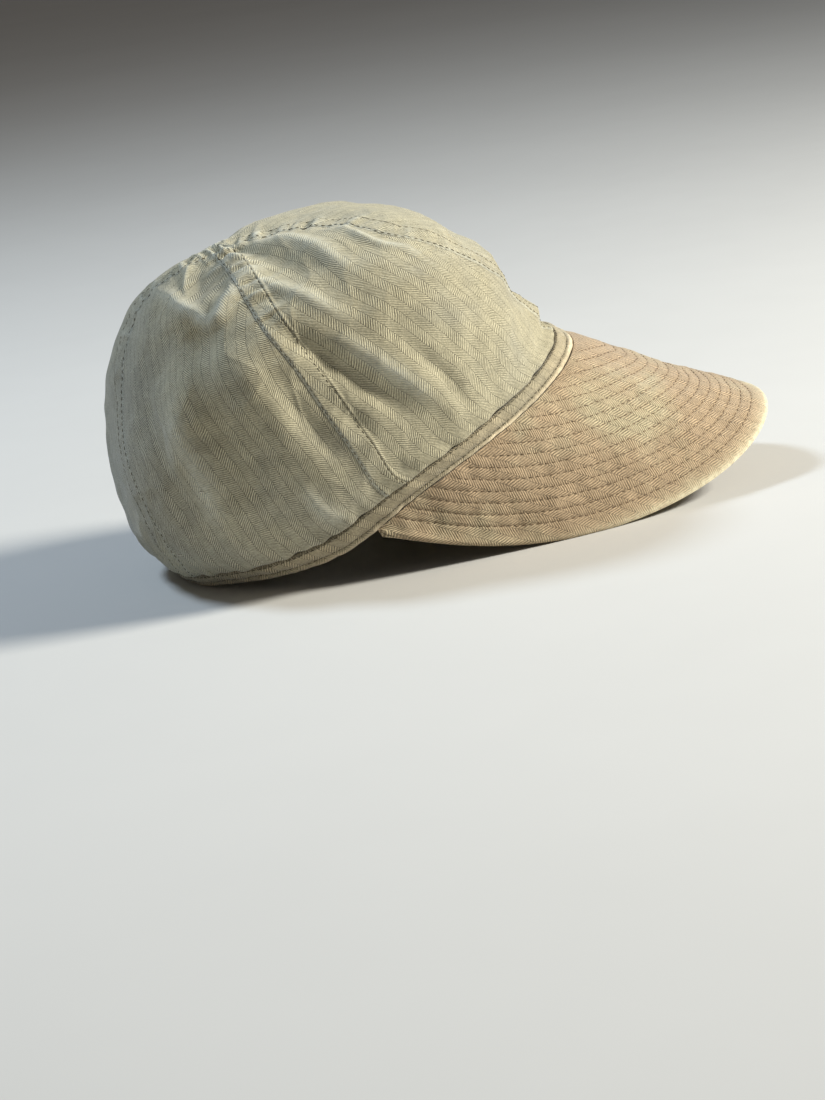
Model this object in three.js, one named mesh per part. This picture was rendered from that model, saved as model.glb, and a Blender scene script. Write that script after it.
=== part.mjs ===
// Fatigue cap in herringbone cotton, lying on a flat surface as it rests by itself.
// Millimetres, +Z up. The front of the cap faces -Y and the wearer's right side is -X.
// Shapes are worked out in the cap's own frame, where the rim lies in the plane z = 0,
// and are then tipped back until the back of the rim and the visor's sides touch the surface.

import * as THREE from 'three';

// Cloth and making
const CLOTH = 1.4;            // wall of the crown, two layers of twill with their fell
const SEAM_RISE = 0.7;        // how much a felled seam stands proud
const SEAM_HALF = 4.7;        // half the width of a felled seam
const SEAM_EDGE = 0.8;        // width of the step at a seam's edge
const GAP = 0.3;              // clearance between neighbouring pieces
const BAND = { front: 10.0, side: 14.0, back: 7.5 };  // height of the stitched band
const BAND_OUT = 0.8;         // band standing out from the crown's surface
const BAND_IN = 1.6;          // band reaching in from the crown's surface
const VISOR_LAYER = 1.7;      // each layer of the quilted visor
const MERIDIAN = 172.0;       // mean length of cloth from the rim to the crown's top
const PANEL_TOP = 0.984;      // the panels meet here, as a part of the way up
const WIDEST_SEAM = 0.2;      // most of a panel's width that a seam takes where panels narrow
const WIDEST_STEP = 0.05;
const HEM_FADE = 0.1;         // folds fade out towards the band and the top, parts of the way up
const TOP_FADE = 0.06;

// Resting place
const REST_TIP = 21.25;       // degrees that the front is raised
const REST_LIFT = 33.0;       // from the surface up to the rim frame's origin
const REST_FORWARD = 37.1;    // moves the middle of the whole cap over the origin
const REST_SIDE = 2.0;

// Rings of the crown, from the rim up to the top. Reach is measured from the cap's axis,
// rise from the rim plane, and plan is the exponent of the ring's oval (2 is an ellipse).
// Sway is how far a seam runs beside its straight place: the front and back seams towards
// the wearer's right, the side seams towards the front.
const RINGS = [
  { front: 107.5, frontRise: 2.4, side: 78.1, sideRise: 1.0, back: 94.0, backRise: 0.0, plan: 2.0,
    frontSway: 6.0, sideSway: 8.5, backSway: 18.5 },
  { front: 97.0, frontRise: 20.0, side: 81.5, sideRise: 13.0, back: 102.5, backRise: 20.0, plan: 2.2,
    frontSway: 17.0, sideSway: 7.5, backSway: 30.0 },
  { front: 95.0, frontRise: 40.0, side: 82.5, sideRise: 33.5, back: 101.0, backRise: 42.0, plan: 2.4,
    frontSway: 30.0, sideSway: 5.5, backSway: 30.5 },
  { front: 88.5, frontRise: 61.0, side: 80.0, sideRise: 54.0, back: 94.5, backRise: 63.5, plan: 2.5,
    frontSway: 40.0, sideSway: 3.0, backSway: 22.5 },
  { front: 76.5, frontRise: 83.0, side: 74.0, sideRise: 75.0, back: 81.5, backRise: 84.5, plan: 2.5,
    frontSway: 44.0, sideSway: 0.5, backSway: 5.0 },
  { front: 59.0, frontRise: 98.8, side: 63.0, sideRise: 92.5, back: 66.0, backRise: 102.5, plan: 2.4,
    frontSway: 39.0, sideSway: -1.5, backSway: -5.0 },
  { front: 38.5, frontRise: 108.5, side: 46.0, sideRise: 106.0, back: 47.5, backRise: 116.5, plan: 2.3,
    frontSway: 20.0, sideSway: -1.0, backSway: -7.0 },
  { front: 14.5, frontRise: 115.5, side: 25.0, sideRise: 115.5, back: 27.0, backRise: 121.0, plan: 2.2,
    frontSway: 7.0, sideSway: 0.0, backSway: 0.0 },
  { front: -9.0, frontRise: 120.0, side: 0.0, sideRise: 120.0, back: 9.0, backRise: 120.0, plan: 2.1,
    frontSway: 0.0, sideSway: 0.0, backSway: 0.0 },
];

// The rim dips behind the ears
const DIP = { depth: 7.4, at: 125, width: 24 };

// The soft crown has slumped towards the wearer's right
const SLUMP = { top: -9.0, farPuff: 7.0, nearPuff: 1.0 };
const SIDE_SEAM = 98;         // degrees round from the front

// Main folds: place round from the front and up from the rim, half sizes along and across
// the fold, the way it runs (0 is level, 90 is straight up) and its depth, in is negative.
const FOLDS = [
  { round: 137, up: 0.735, along: 26, across: 7, runs: -24, depth: 2.0 },
  { round: 139, up: 0.64, along: 30, across: 14, runs: -18, depth: -4.0 },
  { round: 126, up: 0.83, along: 16, across: 10, runs: 70, depth: -2.6 },
  { round: 74, up: 0.80, along: 28, across: 8, runs: 88, depth: -3.2 },
  { round: 79, up: 0.40, along: 32, across: 8, runs: 73, depth: -3.2 },
  { round: 69, up: 0.33, along: 26, across: 8, runs: 75, depth: 1.8 },
  { round: 154, up: 0.60, along: 26, across: 11, runs: 85, depth: -2.0 },
  { round: 129, up: 0.38, along: 46, across: 9, runs: 88, depth: -3.2 },
  { round: 114, up: 0.43, along: 40, across: 10, runs: 78, depth: 2.6 },
  { round: 4, up: 0.37, along: 26, across: 8, runs: 0, depth: 2.5 },
  { round: 6, up: 0.26, along: 24, across: 8, runs: 0, depth: -5.5 },
  { round: 6, up: 0.15, along: 26, across: 6, runs: 0, depth: 3.0 },
  { round: 6, up: 0.10, along: 28, across: 4, runs: 0, depth: -1.5 },
  { round: -60, up: 0.55, along: 36, across: 12, runs: 65, depth: -3.0 },
  { round: -88, up: 0.33, along: 30, across: 10, runs: 80, depth: 2.2 },
  { round: -135, up: 0.45, along: 34, across: 13, runs: 75, depth: -3.2 },
  { round: -125, up: 0.74, along: 24, across: 7, runs: 20, depth: 2.4 },
];

// Visor: half an oval in plan, its outer edge falling from the tip to the corners
const VISOR = { corner: 111.3, half: 79.0, back: 22.0, long: 194.0, round: 0.70,
  cornerRise: -4.5, fall: 72.5, fallPower: 4.3, tipLift: 9.0, tipWidth: 0.3, bow: -1.5 };

const EDGE_PINCH = 0.7;       // the visor's layers thin to this at the outer edge

const COLOURS = { crown: 0x96967a, band: 0x7d7b64, visorTop: 0x9a8768, visorUnder: 0x8a7a5f };

const { PI, sin, cos, abs, pow, exp, tanh, min, max } = Math;
const radians = (degrees) => (degrees * PI) / 180;
const bump = (value, centre, width) => exp(-(((value - centre) / width) ** 2));

// A smooth curve through one column of the ring table, 0 at the rim and 1 at the top
function ringValue(column, up) {
  const last = RINGS.length - 1;
  const place = min(max(up, 0), 1) * last;
  const row = min(Math.floor(place), last - 1);
  const t = place - row;
  const at = (k) => {
    if (k < 0) return 2 * RINGS[0][column] - RINGS[1][column];
    if (k > last) return 2 * RINGS[last][column] - RINGS[last - 1][column];
    return RINGS[k][column];
  };
  const [a, b, c, d] = [at(row - 1), at(row), at(row + 1), at(row + 2)];
  return 0.5 * (2 * b + (c - a) * t + (2 * a - 5 * b + 4 * c - d) * t * t + (3 * b - a - 3 * c + d) * t ** 3);
}

// Angle round the cap as 0 at the front to 180 at the back, the same on both sides
const fromFront = (angle) => abs(THREE.MathUtils.euclideanModulo(angle + PI, 2 * PI) - PI) * (180 / PI);

function rimDip(angle) {
  const degrees = fromFront(angle);
  return DIP.depth * (bump(degrees, DIP.at, DIP.width) + bump(360 - degrees, DIP.at, DIP.width));
}

function ringRadius(angle, up) {
  const long = (ringValue('front', up) + ringValue('back', up)) / 2;
  const wide = ringValue('side', up);
  const power = ringValue('plan', up);
  if (up > 0.9999) return 0;
  return pow(pow(abs(cos(angle)) / long, power) + pow(abs(sin(angle)) / wide, power), -1 / power);
}

// Radius used to turn millimetres of cloth into an angle at the middle of the ring
const cloth = (up) => max(12, (ringValue('front', up) + ringValue('back', up)) / 2);

// The crown's smooth outer surface
function crownBase(angle, up) {
  const [c, s] = [cos(angle), sin(angle)];
  const radius = ringRadius(angle, up);
  const middle = (ringValue('back', up) - ringValue('front', up)) / 2;
  const ends = c > 0 ? ringValue('frontRise', up) : ringValue('backRise', up);
  const lean = pow(up, 1.3) * (PI / 2);
  const far = 0.5 - 0.5 * tanh(6 * s);
  const puff = (SLUMP.nearPuff + (SLUMP.farPuff - SLUMP.nearPuff) * far)
    * sin(2 * angle) ** 2 * sin(PI * pow(up, 0.85));
  const rise = c * c * ends + s * s * ringValue('sideRise', up) - rimDip(angle) * (1 - up) ** 3;
  return new THREE.Vector3(
    -s * (radius + puff * cos(lean)) + SLUMP.top * pow(sin((PI / 2) * up), 1.2),
    -c * (radius + puff * cos(lean)) + middle,
    rise + puff * sin(lean),
  );
}

// Outward normal of a surface given as a function of two numbers
function normalOf(surface, a, b, step) {
  const along = surface(a + step, b).sub(surface(a - step, b));
  const across = surface(a, b + step).sub(surface(a, b - step));
  return along.cross(across).normalize();
}

function crownNormal(angle, up) {
  const place = min(max(up, 0.004), 0.97);
  return normalOf(crownBase, angle, place, 0.004).negate();
}

function foldDepth(angle, up) {
  let depth = 0;
  for (const fold of FOLDS) {
    const turn = THREE.MathUtils.euclideanModulo(angle - radians(fold.round) + PI, 2 * PI) - PI;
    const level = turn * max(12, ringRadius(radians(fold.round), fold.up));
    const upward = (up - fold.up) * MERIDIAN;
    const way = radians(fold.runs);
    const along = level * cos(way) + upward * sin(way);
    const across = upward * cos(way) - level * sin(way);
    depth += fold.depth * exp(-((along / fold.along) ** 2) - (across / fold.across) ** 2);
  }
  return depth * min(1, up / HEM_FADE) * min(1, (1 - up) / TOP_FADE);
}

// A point of the crown, set in or out along the normal
function crownPoint(angle, up, offset) {
  const reach = offset + foldDepth(angle, up);
  return crownBase(angle, up).addScaledVector(crownNormal(angle, up), reach);
}

// Seams in order round the cap: front, wearer's right, back, wearer's left
function seamAngle(index, up) {
  const radius = cloth(up);
  if (index === 0 || index === 4) return index * (PI / 2) + ringValue('frontSway', up) / radius;
  if (index === 2) return PI - ringValue('backSway', up) / radius;
  const side = radians(SIDE_SEAM) - ringValue('sideSway', up) / radius;
  return index === 1 ? side : 2 * PI - side;
}

// Height where the band ends, as a part of the way up to the top
function bandTop(angle) {
  const [c, s] = [cos(angle), sin(angle)];
  return (c * c * (c > 0 ? BAND.front : BAND.back) + s * s * BAND.side) / MERIDIAN;
}

// Tips the cap back and sets it down; cloth that would reach below the surface is flattened on it
function rest(point) {
  const tip = radians(REST_TIP);
  return new THREE.Vector3(
    point.x + REST_SIDE,
    point.y * cos(tip) + point.z * sin(tip) + REST_FORWARD,
    max(0, point.z * cos(tip) - point.y * sin(tip) + REST_LIFT),
  );
}

// A mesh from points and triangles, with its faces turned outwards
function solid(name, points, triangles, colour) {
  const positions = points.map(rest).flatMap((p) => [p.x, p.y, p.z]);
  const corner = (i) => new THREE.Vector3(...positions.slice(3 * i, 3 * i + 3));
  let volume = 0;
  for (const [a, b, c] of triangles) volume += corner(a).dot(corner(b).cross(corner(c)));
  const faces = volume > 0 ? triangles : triangles.map(([a, b, c]) => [a, c, b]);
  const geometry = new THREE.BufferGeometry();
  geometry.setAttribute('position', new THREE.Float32BufferAttribute(positions, 3));
  geometry.setIndex(faces.flat());
  geometry.computeVertexNormals();
  const material = new THREE.MeshStandardMaterial({ color: colour, roughness: 0.9, metalness: 0 });
  const mesh = new THREE.Mesh(geometry, material);
  mesh.name = name;
  return mesh;
}

// A closed wall between two grids of points, both given as point(column, row)
function wall(name, columns, rows, outer, inner, colour) {
  const points = [];
  for (const side of [outer, inner]) {
    for (let i = 0; i <= columns; i += 1) {
      for (let j = 0; j <= rows; j += 1) points.push(side(i, j));
    }
  }
  const id = (side, i, j) => side * (columns + 1) * (rows + 1) + i * (rows + 1) + j;
  const triangles = [];
  const quad = (a, b, c, d) => triangles.push([a, b, c], [a, c, d]);
  for (let i = 0; i < columns; i += 1) {
    for (let j = 0; j < rows; j += 1) {
      quad(id(0, i, j), id(0, i + 1, j), id(0, i + 1, j + 1), id(0, i, j + 1));
      quad(id(1, i, j), id(1, i, j + 1), id(1, i + 1, j + 1), id(1, i + 1, j));
    }
    quad(id(1, i, 0), id(1, i + 1, 0), id(0, i + 1, 0), id(0, i, 0));
    quad(id(0, i, rows), id(0, i + 1, rows), id(1, i + 1, rows), id(1, i, rows));
  }
  for (let j = 0; j < rows; j += 1) {
    quad(id(0, 0, j), id(0, 0, j + 1), id(1, 0, j + 1), id(1, 0, j));
    quad(id(1, columns, j), id(1, columns, j + 1), id(0, columns, j + 1), id(0, columns, j));
  }
  return solid(name, points, triangles, colour);
}

// One panel of the crown between two seams, thicker along them where the cloth is felled
function crownPanel(name, first) {
  const middleColumns = 11;
  const columns = middleColumns + 4;
  const rows = 17;
  const bottom = BAND.side / MERIDIAN;
  const shareAt = (column, width) => {
    const edge = min(SEAM_HALF / width, WIDEST_SEAM);
    const step = min(SEAM_EDGE / width, WIDEST_STEP);
    if (column <= 1) return column * edge;
    if (column >= columns - 1) return 1 - (columns - column) * edge;
    return edge + step + ((column - 2) / middleColumns) * (1 - 2 * (edge + step));
  };
  const place = (column, row) => {
    const level = bottom + (PANEL_TOP - bottom) * (row / rows);
    const radius = max(2, ringRadius(seamAngle(first, level), level));
    const clear = GAP / 2 / radius;
    const from = seamAngle(first, level) + clear;
    const to = seamAngle(first + 1, level) - clear;
    const angle = from + (to - from) * shareAt(column, (to - from) * radius);
    const low = bandTop(angle) + GAP / MERIDIAN;
    return { angle, up: low + (PANEL_TOP - low) * (row / rows) };
  };
  const felled = (column) => (column <= 1 || column >= columns - 1 ? SEAM_RISE : 0);
  const outer = (i, j) => {
    const { angle, up } = place(i, j);
    return crownPoint(angle, up, felled(i));
  };
  const inner = (i, j) => {
    const { angle, up } = place(i, j);
    return crownPoint(angle, up, -CLOTH);
  };
  return wall(name, columns, rows, outer, inner, COLOURS.crown);
}

// The band: a closed ring that follows the crown's lowest cloth, with a rounded folded edge.
// Its section gives the share of the band's height and the distance out from the crown.
function rimBand() {
  const around = 80;
  const section = [
    { tall: 1, out: BAND_OUT }, { tall: 0.5, out: BAND_OUT }, { tall: 0.06, out: BAND_OUT },
    { tall: 0, out: BAND_OUT * 0.4 }, { tall: 0, out: -BAND_IN * 0.8 }, { tall: 0.06, out: -BAND_IN },
    { tall: 1, out: -BAND_IN },
  ];
  const points = [];
  for (let i = 0; i < around; i += 1) {
    const angle = (i / around) * 2 * PI;
    for (const { tall, out } of section) points.push(crownPoint(angle, tall * bandTop(angle), out));
  }
  const corners = section.length;
  const triangles = [];
  for (let i = 0; i < around; i += 1) {
    for (let k = 0; k < corners; k += 1) {
      const next = ((i + 1) % around) * corners;
      const [a, b] = [i * corners + k, i * corners + ((k + 1) % corners)];
      const [c, d] = [next + ((k + 1) % corners), next + k];
      triangles.push([a, b, c], [a, c, d]);
    }
  }
  return solid('rim_band', points, triangles, COLOURS.band);
}

// The visor's middle surface: side runs -1 to 1 between the corners, out 0 at the rim to 1 at the edge
function visorBase(side, out) {
  const seam = crownBase(radians(VISOR.corner) * side, 0);
  const quarter = abs(side) * (PI / 2);
  const edge = new THREE.Vector3(
    -Math.sign(side) * VISOR.half * pow(sin(quarter), VISOR.round),
    VISOR.back - VISOR.long * cos(quarter),
    VISOR.cornerRise - VISOR.fall * (1 - pow(abs(side), VISOR.fallPower))
      + VISOR.tipLift * exp(-((side / VISOR.tipWidth) ** 2)),
  );
  return seam.lerp(edge, out);
}

function visorPoint(side, out, offset) {
  const normal = normalOf(visorBase, side, min(max(out, 0.02), 0.98), 0.004);
  const bow = VISOR.bow * sin(PI * out) * (1 - side ** 2);
  return visorBase(side, out).addScaledVector(normal, offset + bow);
}

// One layer of the visor, its inner edge held clear of the band
function visorLayer(name, low, high, clear, colour) {
  const columns = 30;
  const rows = 6;
  const corner = 0.99;
  const place = (column, row) => {
    const side = corner * sin((PI / 2) * (2 * (column / columns) - 1));
    const length = visorBase(side, 0).distanceTo(visorBase(side, 1));
    const from = clear / length;
    return { side, out: from + (1 - from) * (row / rows) };
  };
  const face = (offset) => (i, j) => {
    const { side, out } = place(i, j);
    const pinch = j === rows ? EDGE_PINCH : 1;
    return visorPoint(side, out, offset * pinch + (1 - pinch) * Math.sign(offset) * GAP * 0.5);
  };
  return wall(name, columns, rows, face(high), face(low), colour);
}

const cap = new THREE.Group();
cap.add(
  crownPanel('crown_front_right', 0),
  crownPanel('crown_back_right', 1),
  crownPanel('crown_back_left', 2),
  crownPanel('crown_front_left', 3),
  rimBand(),
  visorLayer('visor_top', GAP / 2, GAP / 2 + VISOR_LAYER, 1.6, COLOURS.visorTop),
  visorLayer('visor_under', -GAP / 2 - VISOR_LAYER, -GAP / 2, 0.6, COLOURS.visorUnder),
);

export default cap;
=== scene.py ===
import math

import bpy
import bmesh
import numpy as np
from mathutils import Matrix, Vector
from mathutils.bvhtree import BVHTree


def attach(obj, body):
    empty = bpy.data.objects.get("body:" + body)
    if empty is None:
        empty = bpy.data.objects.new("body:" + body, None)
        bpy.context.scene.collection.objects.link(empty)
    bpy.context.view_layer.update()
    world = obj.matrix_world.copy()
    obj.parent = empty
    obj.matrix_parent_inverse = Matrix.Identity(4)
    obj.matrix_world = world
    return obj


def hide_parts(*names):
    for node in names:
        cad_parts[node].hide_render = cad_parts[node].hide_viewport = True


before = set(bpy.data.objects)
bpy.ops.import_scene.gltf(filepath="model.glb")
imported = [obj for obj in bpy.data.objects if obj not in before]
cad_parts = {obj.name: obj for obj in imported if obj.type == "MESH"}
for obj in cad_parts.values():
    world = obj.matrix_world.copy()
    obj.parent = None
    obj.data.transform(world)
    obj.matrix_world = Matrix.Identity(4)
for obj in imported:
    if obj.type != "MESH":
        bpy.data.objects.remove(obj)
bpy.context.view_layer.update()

# A fatigue cap in herringbone cotton, lying by itself on a pale surface.
# Shapes are worked out in millimetres in the cap's own frame, where the rim lies in the plane
# z = 0, the front faces -y and the wearer's right is -x. They are then tipped back as the cap
# rests, and turned into metres when a mesh is made.

MM = 0.001
random = np.random.default_rng(41)

# Cloth and making, in millimetres. MERIDIAN is the length of cloth from the rim to the top. The
# felled seams are a little wider and flatter than the CAD model's.
CLOTH = 1.4
SEAM_RISE = 0.5
SEAM_HALF = 4.9
STITCH_INSET = 0.7
GAP = 0.3
BAND = {"front": 10.0, "side": 14.0, "back": 7.5}
VISOR_LAYER = 1.7
MERIDIAN = 172.0
# Least radius that turns millimetres of cloth into degrees near the top
LEAST_RADIUS = 12

# Resting place: how far the cap is tipped back, and how far it is then moved in millimetres
REST_TIP = math.radians(21.25)
REST_LIFT = 33.0
REST_FORWARD = 37.1
REST_SIDE = 2.0

# Reach from the cap's axis and rise from the rim plane at the front, side and back of each ring,
# the exponent of its oval, and how far the seams sway: the front and back ones towards the
# wearer's right, the side ones forward
RING_COLUMNS = ("front", "front_rise", "side", "side_rise", "back", "back_rise", "plan",
                "front_sway", "side_sway", "back_sway")
RINGS = np.array([
    (107.5, 2.4, 78.1, 1.0, 94.0, 0.0, 2.0, 6.0, 8.5, 18.5),
    (97.0, 20.0, 81.5, 13.0, 102.5, 20.0, 2.2, 17.0, 7.5, 30.0),
    (95.0, 40.0, 82.5, 33.5, 101.0, 42.0, 2.4, 30.0, 5.5, 30.5),
    (88.5, 61.0, 80.0, 54.0, 94.5, 63.5, 2.5, 40.0, 3.0, 22.5),
    (76.5, 83.0, 74.0, 75.0, 81.5, 84.5, 2.5, 44.0, 0.5, 5.0),
    (59.0, 98.8, 63.0, 92.5, 66.0, 102.5, 2.4, 39.0, -1.5, -5.0),
    (38.5, 108.5, 46.0, 106.0, 47.5, 116.5, 2.3, 20.0, -1.0, -7.0),
    (14.5, 115.5, 25.0, 115.5, 27.0, 121.0, 2.2, 7.0, 0.0, 0.0),
    (-9.0, 120.0, 0.0, 120.0, 9.0, 120.0, 2.1, 0.0, 0.0, 0.0),
])

# Dip of the rim on both sides: depth in millimetres, place and half width in degrees
DIP = {"depth": 7.4, "at": 125.0, "width": 24.0}
# How far the top leans, minus is to the wearer's right, and how full the panels are, in millimetres
SLUMP = {"top": -9.0, "far_puff": 7.0, "near_puff": 1.0}
# Place of the side seams in degrees round from the front
SIDE_SEAM = 98.0

# Main folds: degrees round from the front, up from the rim to the top, half sizes along and
# across the fold, the way it runs in degrees (0 is level) and its depth, in is negative. The CAD
# model has the same folds, but there the one at 88 degrees is at 79 and 0.9 mm deeper.
FOLD_COLUMNS = ("round", "up", "along", "across", "runs", "depth")
FOLDS = [dict(zip(FOLD_COLUMNS, row)) for row in (
    (137, 0.735, 26, 7, -24, 2.0),
    (139, 0.64, 30, 14, -18, -4.0),
    (126, 0.83, 16, 10, 70, -2.6),
    (74, 0.80, 28, 8, 88, -3.2),
    (88, 0.45, 34, 6, 64, -2.3),
    (69, 0.33, 26, 8, 75, 1.8),
    (154, 0.60, 26, 11, 85, -2.0),
    (129, 0.38, 46, 9, 88, -3.2),
    (114, 0.43, 40, 10, 78, 2.6),
    (4, 0.37, 26, 8, 0, 2.5),
    (6, 0.26, 24, 8, 0, -5.5),
    (6, 0.15, 26, 6, 0, 3.0),
    (6, 0.10, 28, 4, 0, -1.5),
    (-60, 0.55, 36, 12, 65, -3.0),
    (-88, 0.33, 30, 10, 80, 2.2),
    (-135, 0.45, 34, 13, 75, -3.2),
    (-125, 0.74, 24, 7, 20, 2.4),
)]

# Sharper creases and puckers that the CAD model leaves out: half width and height in millimetres,
# in is negative, and the route as degrees round and part of the way up
CREASE_COLUMNS = ("wide", "high", "route")
CREASES = [dict(zip(CREASE_COLUMNS, row)) for row in (
    # The ridge that turns under the top at the back and up across the side seam
    (3.4, 2.3, [(172, 0.785), (152, 0.78), (133, 0.74), (125, 0.705), (119, 0.715), (110, 0.77),
                (101, 0.79), (93, 0.785)]),
    (6.0, -1.6, [(166, 0.72), (146, 0.69), (131, 0.66), (120, 0.64)]),
    # A sharp crease down from the top, with the cloth sunk beside it
    (1.0, 1.0, [(185, 0.95), (172, 0.915), (160, 0.88), (147, 0.825), (139, 0.79)]),
    (2.8, -1.0, [(165, 0.955), (150, 0.92), (143, 0.875), (136, 0.83), (131, 0.80)]),
    # Ridges in front of the side seam
    (4.2, 1.7, [(57, 0.915), (50, 0.85), (55, 0.765), (61, 0.685), (62, 0.62)]),
    (3.6, 1.6, [(88, 0.895), (92, 0.78), (86, 0.705), (82, 0.645), (80, 0.59), (77, 0.52)]),
    # Cloth pushed up beside the front seam
    (2.6, 1.7, [(38, 0.76), (40, 0.71), (45, 0.66), (46, 0.60), (44, 0.555), (45, 0.505)]),
    # Hollows and ridges that run down towards the band
    (3.8, -1.7, [(99, 0.63), (96, 0.56), (92, 0.50), (88, 0.44), (84, 0.37), (81, 0.30), (79, 0.24)]),
    (4.2, 1.6, [(85, 0.52), (80, 0.44), (76, 0.365), (73, 0.30), (71, 0.24)]),
    (4.0, -2.3, [(69, 0.42), (66, 0.335), (64, 0.265), (62, 0.19), (62, 0.15)]),
    (4.0, -1.8, [(95, 0.38), (93, 0.32), (90, 0.25)]),
    (4.2, -1.8, [(108, 0.49), (105, 0.36), (101, 0.245)]),
    (6.0, -2.4, [(158, 0.52), (150, 0.455), (147, 0.37), (147, 0.305), (148, 0.215)]),
    (5.0, 1.6, [(142, 0.51), (138, 0.36), (140, 0.21)]),
    (3.4, 1.4, [(115, 0.25), (113, 0.17), (110, 0.11)]),
    (3.2, -1.3, [(119, 0.16), (117, 0.11), (116, 0.08)]),
    (3.0, -1.1, [(88, 0.16), (86, 0.12), (85, 0.09)]),
    (2.6, -1.0, [(74, 0.14), (73, 0.10), (72, 0.07)]),
    # Puckers across the side seam near the top
    (1.7, 1.0, [(112, 0.95), (95, 0.955), (78, 0.95)]),
    (1.7, 1.1, [(112, 0.90), (98, 0.91), (90, 0.90), (86, 0.875)]),
    (1.7, 1.0, [(130, 0.87), (120, 0.885), (110, 0.895)]),
    (1.5, 1.0, [(103, 0.735), (98, 0.735), (94, 0.725)]),
    (1.5, 0.8, [(104, 0.685), (99, 0.69), (95, 0.68)]),
)]

# Folds fade out over these parts of the way up, beside the rim and beside the top
FOLD_FADE = {"rim": 0.1, "top": 0.06}

# Small waves of cloth across the seams: length and height of each, their reach and strength
PUCKERS = ((3.0, 0.12), (5.3, 0.22), (8.5, 0.34), (13.0, 0.36))
PUCKER_REACH = 7.5
PUCKER_STRENGTH = {"low": 0.25, "top": 1.5}
# Slopes of a felled seam: at its folded edge, and outside and inside its soft edge
SEAM_SLOPE = {"folded": 0.45, "outside": 1.4, "inside": 0.4}
# Grooves along the seams' stitches: depth, half width, and the share of it at the soft edge
SEAM_GROOVE = {"deep": -0.30, "half": 0.42, "soft_edge": 0.9}
# Upright gathers over the band: height, width, seed, stretch upwards and reach
GATHERS = {"high": 0.45, "size": 8, "seed": 8, "stretch": 0.15, "reach": 8}
# Wrinkles all over the crown: height, size and seed of each, and of the sharper ridges among them
WRINKLES = ((0.55, 42, 11), (0.18, 15, 12))
RIDGES = {"high": 0.30, "size": 34, "seed": 13}
# The line where the crown goes into the band, and the swell over it: height, place, half width
TUCK = (-0.8, 0.2, 0.7)
SWELL = (0.5, 3.4, 2.6)
# Pale wear and a painted highlight: place inside a seam's edge, half width, and strength on seams, crests and
# creases
WEAR_AND_HIGHLIGHT = {"inset": 0.6, "half": 0.7, "seam": 0.5, "crest": 0.42, "crease": 0.6}
# Dark shade in the grooves, at the band and just outside a seam's folded edge
SHADE = {"groove": -0.8, "hem": 0.2, "hem_half": 0.7, "edge": 0.3, "edge_out": 0.3, "edge_half": 0.35}

# Brown spots, broad darker patches, and painted shade at 126 degrees: degrees round, up, radius in
# millimetres and strength
STAINS_AND_SHADE = [(40.0, 0.40, 3.0, 0.3), (46.0, 0.37, 2.6, 0.3), (50.0, 0.495, 2.8, 0.3), (52.0, 0.41, 2.2, 0.3),
          (66.0, 0.24, 3.4, 0.2), (104.0, 0.50, 3.6, 0.3), (134.0, 0.42, 4.0, 0.3), (172.0, 0.52, 30.0, 0.3),
          (126.0, 0.84, 12.0, 0.35), (100.0, 0.30, 14.0, 0.2), (188.0, 0.30, 26.0, 0.2)]
# Specks of white lint: degrees round and up
LINT = [(123.7, 0.165), (157.0, 0.155), (139.0, 0.315)]

# The visor: its corners in degrees round the rim, its outline in millimetres with the exponent of
# its oval, and how its edge falls from the corners and lifts at the middle
VISOR = {"corner": 111.3, "half": 79.0, "back": 22.0, "long": 194.0, "round": 0.70,
         "corner_rise": -4.5, "fall": 72.5, "fall_power": 4.3, "tip_lift": 9.0, "tip_width": 0.3,
         "bow": -1.5}
# Quilting: the first row's distance from the edge, the rows' pitch and number, and their grooves
QUILT = {"first": 8.5, "pitch": 5.0, "rows": 15, "groove": 0.34, "half": 0.6}

# Stitches: the pitch of each kind, the share of it that shows, and the thread's radius
STITCH = {"crown": 2.9, "band": 2.9, "visor": 3.3, "cover": 0.6, "radius": 0.21}

# The herringbone: width of a column, pitch of the ribs, and how far they differ in tone
CROWN_WEAVE = {"column": 4.6, "pitch": 1.2, "contrast": 1.3}
VISOR_WEAVE = {"column": 4.1, "pitch": 1.4, "contrast": 1.2}


# Surfaces of the cap in its own frame

def cubic(knots, row, t):
    """A smooth curve from the second to the third of four knots in order, t from 0 to 1."""
    a, b, c, d = (knots[row + k] for k in range(4))
    return 0.5 * (2 * b + (c - a) * t + (2 * a - 5 * b + 4 * c - d) * t**2 + (3 * b - a - 3 * c + d) * t**3)


def ring_value(name, up):
    """A smooth curve through one column of the ring table, 0 at the rim and 1 at the top."""
    knots = RINGS[:, RING_COLUMNS.index(name)]
    knots = np.concatenate([[2 * knots[0] - knots[1]], knots, [2 * knots[-1] - knots[-2]]])
    last = len(RINGS) - 1
    place = np.clip(up, 0, 1) * last
    row = np.minimum(place.astype(int), last - 1)
    return cubic(knots, row, place - row)


def bump(value, centre, width):
    return np.exp(-(((value - centre) / width) ** 2))


def wrap(angle):
    """The same angle between -pi and pi."""
    return np.mod(angle + math.pi, 2 * math.pi) - math.pi


def rim_dip(angle):
    degrees = np.degrees(np.abs(wrap(angle)))
    return DIP["depth"] * bump(degrees, DIP["at"], DIP["width"])


def ring_radius(angle, up):
    long = np.maximum((ring_value("front", up) + ring_value("back", up)) / 2, 1e-4)
    wide = np.maximum(ring_value("side", up), 1e-4)
    power = ring_value("plan", up)
    return (np.abs(np.cos(angle) / long) ** power + np.abs(np.sin(angle) / wide) ** power) ** (-1 / power)


def cloth_radius(up):
    return np.maximum(LEAST_RADIUS, (ring_value("front", up) + ring_value("back", up)) / 2)


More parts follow.
